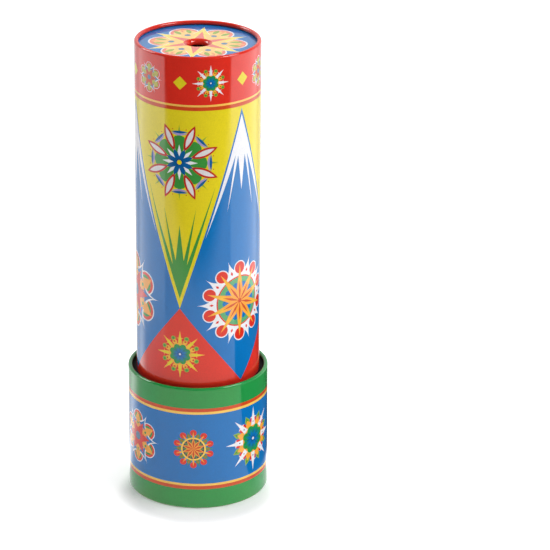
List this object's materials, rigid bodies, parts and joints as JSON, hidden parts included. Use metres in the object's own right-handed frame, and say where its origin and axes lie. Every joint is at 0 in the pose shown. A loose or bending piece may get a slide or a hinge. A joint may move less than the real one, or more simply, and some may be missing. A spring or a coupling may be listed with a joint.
{
  "type": "kaleidoscope",
  "caption": "Hand-held tinplate kaleidoscope: printed tube with a mirror prism and eye hole, and a turning drum with a clear cell of loose beads.",
  "frame": {"origin": "centre of the drum's resting rim, in the plane that the toy stands on", "axes": "+Z along the tube's axis from the object cell towards the eye; +Y towards the side seams"},
  "size_m": [0.0682, 0.0682, 0.2286],
  "materials": {
    "printed_tin_tube": "glossy lacquer over printed colours",
    "printed_tin_drum": "glossy lacquer over printed colours",
    "printed_tin_eyepiece": "glossy lacquer over printed colours",
    "card": "plain grey-brown card",
    "sleeve_card": "plain grey-brown card",
    "tape": "gummed paper tape",
    "mirror_strip": "silvered",
    "clear_window": "clear polished",
    "clear_cup": "clear moulded",
    "end_ring_plastic": "moulded, off-white",
    "bush_plastic": "moulded, black",
    "retainer_plastic": "moulded, off-white",
    "pink_clear": "translucent",
    "orange_bead": "translucent",
    "lime_bead": "translucent",
    "blue_clear": "translucent",
    "magenta_bead": "translucent",
    "red_bead": "translucent",
    "clear_bead": "clear",
    "teal_bead": "translucent",
    "ice_blue_clear": "translucent",
    "green_bead": "translucent",
    "amber_bead": "translucent",
    "rose_bead": "translucent",
    "navy_bead": "glossy"
  },
  "bodies": {
    "tube_body": {"tube_shell": "printed_tin_tube", "eyepiece_disc": "printed_tin_eyepiece", "eyepiece_spacer": "card", "eye_window": "clear_window", "eye_end_collar": "card", "mirror_a": "mirror_strip", "mirror_b": "mirror_strip", "mirror_c": "mirror_strip", "mirror_sleeve": "sleeve_card", "mirror_tape_upper": "tape", "mirror_tape_lower": "tape", "object_end_collar": "card", "tube_end_window": "clear_window", "tube_end_ring": "end_ring_plastic"},
    "drum": {"drum_shell": "printed_tin_drum", "upper_bearing_ring": "bush_plastic", "lower_bearing_ring": "bush_plastic", "drum_liner": "card", "cell_retaining_ring": "retainer_plastic", "inner_window": "clear_window", "object_cup": "clear_cup"},
    "outer_beads": {"pink_facet_beads": "pink_clear", "orange_pony_beads": "orange_bead", "lime_round_beads": "lime_bead", "orange_rod_bead": "orange_bead", "blue_facet_beads": "blue_clear", "magenta_flower_beads": "magenta_bead", "red_tube_bead": "red_bead", "clear_star_bead": "clear_bead", "teal_rice_bead": "teal_bead"},
    "middle_beads": {"ice_facet_beads": "ice_blue_clear", "green_round_beads": "green_bead", "amber_pony_bead": "amber_bead", "navy_cube_beads": "navy_bead", "rose_rice_beads": "rose_bead"},
    "centre_beads": {"clear_round_bead": "clear_bead", "pink_star_bead": "pink_clear", "green_facet_bead": "green_bead"}
  },
  "joints": [
    {"name": "drum_spin", "type": "hinge", "parent": "tube_body", "child": "drum", "pos_m": [0, 0, 0.03175], "axis": [0, 0, 1], "continuous": true},
    {"name": "outer_bead_tumble", "type": "hinge", "parent": "drum", "child": "outer_beads", "pos_m": [0, 0, 0.0098], "axis": [0, 0, 1], "continuous": true},
    {"name": "middle_bead_tumble", "type": "hinge", "parent": "drum", "child": "middle_beads", "pos_m": [0, 0, 0.0098], "axis": [0, 0, 1], "continuous": true},
    {"name": "centre_bead_tumble", "type": "hinge", "parent": "drum", "child": "centre_beads", "pos_m": [0, 0, 0.0098], "axis": [0, 0, 1], "continuous": true}
  ]
}
